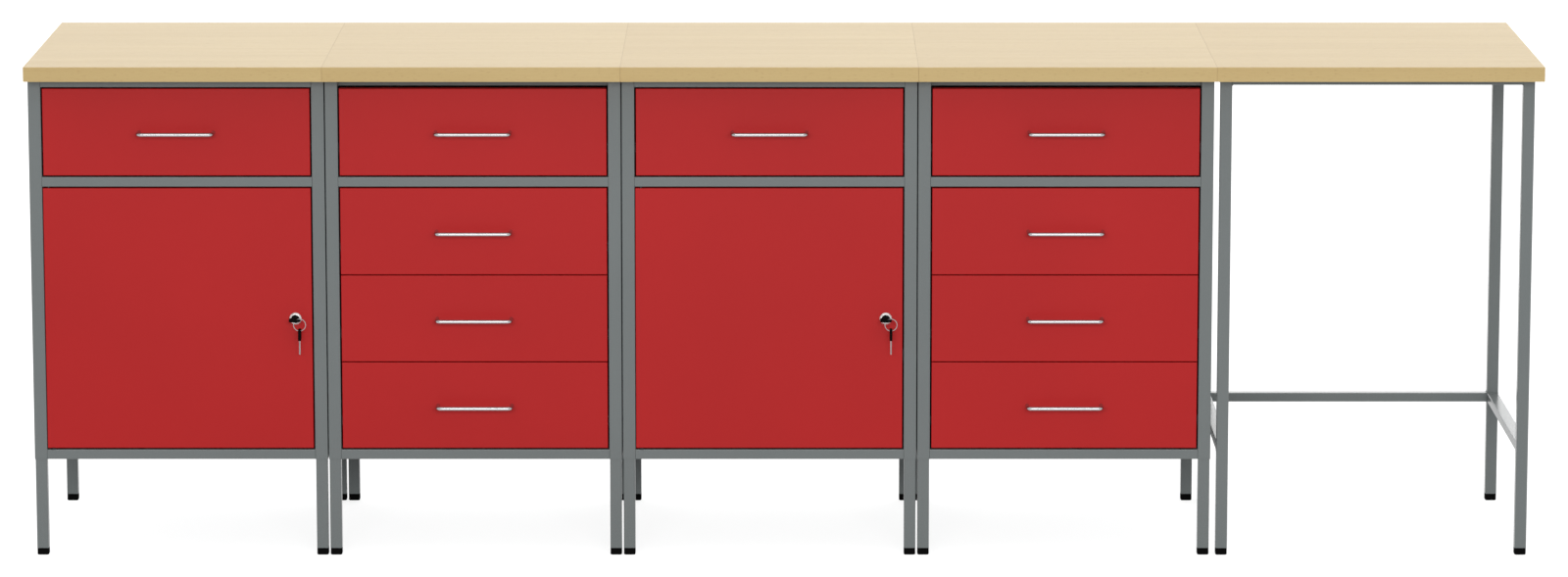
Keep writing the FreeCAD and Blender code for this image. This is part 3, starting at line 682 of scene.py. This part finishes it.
def light_softbox(name, place, target, size, level):
    """Area lamp that adds the given level of radiance to a white surface at its target."""
    lamp = bpy.data.lights.new(name, "AREA")
    lamp.shape = "RECTANGLE"
    lamp.size, lamp.size_y = size
    aim = Vector(target) - Vector(place)
    lamp.energy = level * math.pi ** 2 * aim.length_squared
    made = bpy.data.objects.new(name, lamp)
    made.location = place
    made.rotation_euler = aim.to_track_quat("-Z", "Y").to_euler()
    bpy.context.scene.collection.objects.link(made)


def seen_directly(tree):
    """1 for rays from the camera, a mirror or glass, 0 for the rays that light a surface."""
    path = add_node(tree, "ShaderNodeLightPath").outputs
    bright = math_node(tree, "MAXIMUM", path["Is Camera Ray"], path["Is Glossy Ray"])
    return math_node(tree, "MAXIMUM", bright, path["Is Transmission Ray"])


def make_world():
    """White surroundings that light the bench with an even sky."""
    world = bpy.data.worlds.new("studio")
    world.use_nodes = True
    bpy.context.scene.world = world
    tree = world.node_tree
    background = tree.nodes["Background"]
    background.inputs["Color"].default_value = WHITE
    tree.links.new(spread(tree, seen_directly(tree), SKY_LIGHT, 1.0), background.inputs["Strength"])


def make_floor():
    """Pale floor that takes the shadow and shows white where it is lit."""
    material = bpy.data.materials.new("floor_pale")
    material.use_nodes = True
    tree = material.node_tree
    shader = tree.nodes["Principled BSDF"]
    shader.inputs["Base Color"].default_value = FLOOR_GREY
    shader.inputs["Roughness"].default_value = 1.0
    shader.inputs["Specular IOR Level"].default_value = 0.0
    shader.inputs["Emission Color"].default_value = WHITE
    glow = math_node(tree, "MULTIPLY", seen_directly(tree), FLOOR_GLOW)
    tree.links.new(glow, shader.inputs["Emission Strength"])
    half = FLOOR_SIDE / 2
    sheet = [(-half, -half, 0), (half, -half, 0), (half, half, 0), (-half, half, 0)]
    mesh = bpy.data.meshes.new("floor")
    mesh.from_pydata(sheet, [], [(0, 1, 2, 3)])
    mesh.materials.append(material)
    floor = bpy.data.objects.new("floor", mesh)
    bpy.context.scene.collection.objects.link(floor)


def make_camera():
    lens = bpy.data.cameras.new("camera")
    lens.lens = CAMERA_LENS
    lens.clip_end = CAMERA_RANGE
    camera = bpy.data.objects.new("camera", lens)
    camera.location = CAMERA_PLACE
    camera.rotation_euler = (math.radians(90.0 - CAMERA_TILT), 0.0, 0.0)
    bpy.context.scene.collection.objects.link(camera)
    bpy.context.scene.camera = camera


def make_stage():
    make_world()
    make_floor()
    make_camera()
    for softbox in SOFTBOXES:
        light_softbox(*softbox)
    bpy.context.scene.view_settings.view_transform = "Standard"


# Fittings on the bench

def body_of_node(node):
    return body_of(frame["nodes"][node])[0]


def bay_nodes(ending):
    return sorted(node for node in frame["nodes"] if node.endswith(ending))


def dress_handles(tree):
    """Every handle is one bent rod."""
    for node in bay_nodes("_handle"):
        low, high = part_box(node)
        height = (low.z + high.z) / 2
        left, right, bar = low.x + ROD / 2, high.x - ROD / 2, low.y + ROD / 2
        stops = ((left, high.y), (left, bar), (right, bar), (right, high.y))
        line = line_mesh(node + "_line", [[(x, y, height) for x, y in stops]])
        mesh = grown(node + "_rod", line, tree, {"Rod": ROD, "Bend": ROD_BEND})
        rounded(mesh)
        rod = piece(node + "_rod", mesh, body_of_node(node))
        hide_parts(node)


def dress_locks(ending, metal):
    """Turned lock parts keep their solids' shape, with their round faces shaded round."""
    for node in bay_nodes(ending):
        mesh = mesh_from(node + "_turned", merged_copy(node), metal)
        rounded(mesh)
        turned = piece(node + "_turned", mesh, body_of_node(node))
        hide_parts(node)


def dress_rings(tree):
    """Each key ring is a split ring in the place of its solid."""
    upright = Matrix.Rotation(math.radians(90.0), 4, "X")
    for node in bay_nodes("_key_ring"):
        low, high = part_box(node)
        radius = (high.x - low.x - RING_BAND) / 2
        sizes = {"Radius": radius, "Band": RING_BAND, "Wire": RING_WIRE, "Turns": RING_TURNS}
        mesh = grown(node + "_wire", bpy.data.meshes.new(node + "_start"), tree, sizes)
        mesh.transform(Matrix.Translation((low + high) / 2) @ upright)
        rounded(mesh)
        ring = piece(node + "_wire", mesh, body_of_node(node))
        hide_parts(node)


def prism(shape, outline, thick, place, slot):
    """Adds a flat outline in two directions, given thickness on both sides of its plane."""
    rings = []
    for off in (-thick, thick):
        rings.append([shape.verts.new(place(along, across, off)) for along, across in outline])
    faces = [shape.faces.new(rings[0]), shape.faces.new(reversed(rings[1]))]
    count = len(outline)
    for step in range(count):
        after = (step + 1) % count
        faces.append(shape.faces.new((rings[0][after], rings[0][step], rings[1][step], rings[1][after])))
    for face in faces:
        face.material_index = slot


def blade_outline(length, low, high):
    """The cut side of a key blade: V cuts of different depths and a slanted tip."""
    pitch = length * CUTS_LENGTH / len(BLADE_CUTS)
    deepest = (high - low) * CUT_DEPTH
    points = [(0.0, low), (0.0, high)]
    for step, share in enumerate(BLADE_CUTS):
        start = length * CUTS_START + step * pitch
        points.append((start, high))
        points += [(start + pitch * end, high - deepest * share) for end in CUT_FLOOR]
    points += [(length * BLADE_TIP, high), (length, low)]
    return points


def dress_keys(plastic, steel):
    """Keys keep their moulded bow and get a blade with a groove and cuts."""
    for node in bay_nodes("_key"):
        shape = merged_copy(node)
        blade, bow = sorted(islands(shape), key=len)
        low, high = corners(blade)
        bow_low, bow_high = corners(bow)
        size = high - low
        length_axis = max(range(3), key=lambda axis: size[axis])
        thick_axis = min(range(3), key=lambda axis: size[axis])
        width_axis = 3 - length_axis - thick_axis
        outward = 1 if (low + high)[length_axis] > (bow_low + bow_high)[length_axis] else -1
        shoulder = low[length_axis] if outward > 0 else high[length_axis]
        middle = (low[thick_axis] + high[thick_axis]) / 2

        def place(along, across, off):
            point = Vector()
            point[length_axis] = shoulder + outward * along
            point[width_axis] = low[width_axis] + across
            point[thick_axis] = middle + off
            return point

        bmesh.ops.delete(shape, geom=blade, context="VERTS")
        length, width, thick = size[length_axis], size[width_axis], size[thick_axis] / 2
        split = width * BLADE_BACK
        rib = split * RIB_WIDTH
        back = [(0, 0), (length * BACK_TIP, 0), (length, split), (0, split)]
        edge = [(0, 0), (length * RIB_TIP[0], 0), (length * RIB_TIP[1], rib), (0, rib)]
        prism(shape, back, thick - BLADE_GROOVE, place, 1)
        prism(shape, edge, thick, place, 1)
        prism(shape, blade_outline(length, split, width), thick, place, 1)
        blade_faces = [face for face in shape.faces if face.material_index == 1]
        bmesh.ops.recalc_face_normals(shape, faces=blade_faces)
        mesh = mesh_from(node + "_cut", shape, plastic, steel)
        rounded(mesh)
        cut = piece(node + "_cut", mesh, body_of_node(node))
        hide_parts(node)


def tray_fittings(node, handle):
    """Screws of the handle and weld spots of the runners, on the inner faces of a tray."""
    low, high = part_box(node)
    grip_low, grip_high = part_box(handle)
    grip = (grip_low.z + grip_high.z) / 2
    ends = (grip_low.x + ROD / 2, grip_high.x - ROD / 2)
    screws = [((x, low.y + SHEET, grip), (0, 1, 0)) for x in ends]
    left, right = low.x + RUNNER_DEPTH + SHEET, high.x - RUNNER_DEPTH - SHEET
    level = low.z + RUNNER_LEVEL
    spots = []
    for y in evenly(low.y + TRAY_MARGIN, high.y - TRAY_MARGIN, SPOT_PITCH):
        spots += [((left, y, level), (1, 0, 0)), ((right, y, level), (-1, 0, 0))]
    return screws, spots


def dress_trays(screws_tree, spots_tree):
    for node in bay_nodes("_tray"):
        body = body_of_node(node)
        screws, spots = tray_fittings(node, node.replace("_tray", "_handle"))
        heads_piece(node + "_screws", screws, screws_tree, SCREW, body)
        heads_piece(node + "_spots", spots, spots_tree, SPOT, body)


def shell_fittings():
    """Rivets along each cabinet's back sheet and weld spots down its sides."""
    rivets, spots = [], []
    for node in bay_nodes("_shell"):
        low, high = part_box(node)
        left, right = low.x + 1.5 * TUBE, high.x - 1.5 * TUBE
        for z in (low.z + TUBE / 2, high.z - TUBE / 2):
            rivets += [((x, high.y, z), (0, 1, 0)) for x in evenly(left, right, RIVET_PITCH)]
        for z in evenly(low.z + TUBE, high.z - TUBE, SPOT_PITCH):
            for y in (low.y + TUBE / 2, high.y - TUBE / 2):
                spots += [((low.x, y, z), (-1, 0, 0)), ((high.x, y, z), (1, 0, 0))]
            spots += [((x, high.y, z), (0, 1, 0)) for x in (low.x + TUBE / 2, high.x - TUBE / 2)]
    return rivets, spots


def across_rail(along, at, start, height):
    """A line across the underside or the upper side of a rail that runs along X or Y."""
    ends = ((at, start + SHEET, height), (at, start + TUBE - SHEET, height))
    return ends if along == "x" else [(y, x, z) for x, y, z in ends]


def table_fittings(node):
    """Weld seams where the table's rails meet its legs, and screws up into its worktop.

    The screws sit in the rear rail and the side rails, and the front rail has none.
    """
    low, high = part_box(node)
    top = high.z - TABLE_TOP_RAIL
    sides, ends = (low.x, high.x - TUBE), (low.y, high.y - TUBE)
    seams, screws = [], []
    for x in (low.x + TUBE, high.x - TUBE):
        seams += [across_rail("x", x, y, top) for y in ends]
        seams += [across_rail("x", x, ends[1], z) for z in TABLE_RAIL]
    for y in (low.y + TUBE, high.y - TUBE):
        seams += [across_rail("y", y, x, z) for x in sides for z in (top,) + TABLE_RAIL]
    for share in RAIL_SCREWS:
        x, y = low.x + (high.x - low.x) * share, low.y + (high.y - low.y) * share
        screws.append(((x, ends[1] + TUBE / 2, top), (0, 0, -1)))
        screws += [((start + TUBE / 2, y, top), (0, 0, -1)) for start in sides]
    return seams, screws


def floor_seams():
    """Lines between each cabinet's floor and the side rails beside it."""
    lines = []
    for node in bay_nodes("_shell"):
        low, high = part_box(node)
        inset = SHEET + TUBE + FLOOR_SEAM_INSET
        for x in (low.x + inset, high.x - inset):
            ends = (low.y + 1.5 * TUBE, high.y - 1.5 * TUBE)
            lines.append([(x, y, low.z + FLOOR_SEAM_RISE) for y in ends])
    return lines


def dress_bench(rivets_tree, screws_tree, spots_tree, seams_tree, rods_tree):
    rivets, spots = shell_fittings()
    seams, screws = table_fittings("bay5_frame")
    heads_piece("back_rivets", rivets, rivets_tree, RIVET, "bench")
    heads_piece("shell_spots", spots, spots_tree, SPOT, "bench")
    beads = grown("table_seams", line_mesh("table_seams", seams), seams_tree, BEAD)
    piece("table_seams", beads, "bench")
    floors = grown("floor_seams", line_mesh("floor_seams", floor_seams()), rods_tree, FLOOR_SEAM)
    rounded(floors)
    piece("floor_seams", floors, "bench")
    heads_piece("worktop_screws", screws, screws_tree, SCREW, "bench")


def paint_nodes(finishes):
    """Every solid gets the finish that its name's ending stands for."""
    for name, node in frame["nodes"].items():
        ending = next(ending for ending in finishes if name.endswith(ending))
        for place in node.material_slots:
            place.material = finishes[ending]


def dress():
    """Finishes for all solids, finer shapes for some of them, and the small fittings."""
    beech = beech_boards("beech", srgb(*BEECH_PALE), srgb(*BEECH_DARK), srgb(*BEECH_FLECK))
    grey = powder_coat("frame_grey_paint", srgb(*FRAME_GREY), roughness=0.28, shine=0.45)
    red = powder_coat("front_red_paint", srgb(*FRONT_RED), roughness=0.42, shine=0.2)
    tray = powder_coat("tray_grey_paint", srgb(*TRAY_GREY), roughness=0.4, shine=0.4)
    chrome = bright_metal("handle_chrome", CHROME, roughness=0.2, lines=ROD_LINES)
    nickel = bright_metal("lock_nickel", NICKEL, roughness=0.25, lines=TURNED_LINES)
    burnished = bright_metal("lock_burnished", BURNISHED, roughness=0.35, lines=TURNED_LINES)
    steel = bright_metal("key_steel", KEY_STEEL, roughness=0.3, lines=BLADE_LINES)
    ring_steel = bright_metal("ring_steel", RING_STEEL, roughness=0.25, lines=TURNED_LINES)
    zinc = zinc_sheet("fixing_zinc_coat", ZINC_PALE, ZINC_DARK)
    # Painted shade: near-black runners that show as the shade in the gaps round the fronts
    runner = zinc_sheet("runner_painted_shade_zinc", RUNNER_PAINTED_SHADE_PALE, RUNNER_PAINTED_SHADE_DARK)
    black = moulded_plastic("key_black_plastic", srgb(*KEY_BLACK), roughness=0.75, shine=0.03)
    foot = moulded_plastic("foot_black_plastic", srgb(*FOOT_BLACK), roughness=0.7, shine=0.03)
    paint_nodes({
        "_worktop": beech, "_frame": grey, "_shell": grey, "_front": red, "_door": red, "_tray": tray,
        "_handle": chrome, "_lock_housing": nickel, "_lock_plug": burnished,
        "_key_ring": ring_steel, "_key": black, "drawer_runners": runner,
        "hinge_pins": burnished, "cupboard_shelves": grey, "foot_caps": foot,
    })
    dress_handles(rod_tree("handle_rod", chrome))
    dress_locks("_lock_housing", nickel)
    dress_locks("_lock_plug", burnished)
    dress_rings(split_ring_tree(ring_steel))
    dress_keys(black, steel)
    screws = screw_tree(zinc)
    dress_trays(screws, spot_tree(tray))
    dress_bench(rivet_tree(zinc), screws, spot_tree(grey), seam_tree(grey), rod_tree("floor_seam", grey))


make_stage()
dress()
